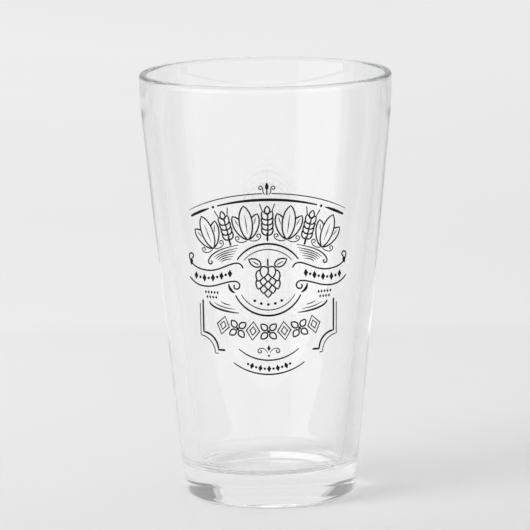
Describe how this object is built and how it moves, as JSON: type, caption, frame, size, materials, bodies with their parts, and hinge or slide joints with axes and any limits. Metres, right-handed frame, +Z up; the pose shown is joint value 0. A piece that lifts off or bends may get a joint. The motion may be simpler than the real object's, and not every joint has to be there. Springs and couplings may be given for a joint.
{
  "type": "pint glass",
  "caption": "Straight-sided tapered pint glass of clear pressed glass with a rounded rim, a thick base and a one-colour ornamental label printed on the front.",
  "frame": {"origin": "on the glass's axis in the plane of the bearing ring that it stands on", "axes": "+Z up the axis of the glass towards the rim, -Y towards the middle of the printed label"},
  "size_m": [0.0888, 0.0888, 0.1508],
  "materials": {
    "glass": "clear fire-polished soda-lime glass",
    "ink": "satin black screen-printed ink film"
  },
  "bodies": {
    "root": {"glass_body": "glass", "print_finial": "ink", "print_thin_arch": "ink", "print_bold_arch": "ink", "print_palmettes": "ink", "print_barley_ears": "ink", "print_hatching_left": "ink", "print_hatching_right": "ink", "print_ring_upper": "ink", "print_ring_lower": "ink", "print_hop_cone": "ink", "print_ring_studs": "ink", "print_ribbon_left": "ink", "print_ribbon_right": "ink", "print_ribbon_beads_left": "ink", "print_ribbon_beads_right": "ink", "print_side_beads_left": "ink", "print_side_beads_right": "ink", "print_sweeps_left": "ink", "print_sweeps_right": "ink", "print_bracket_left": "ink", "print_bracket_right": "ink", "print_lozenge_band": "ink", "print_flourish": "ink", "print_foot_rules": "ink", "print_foot_beads": "ink"}
  },
  "joints": []
}
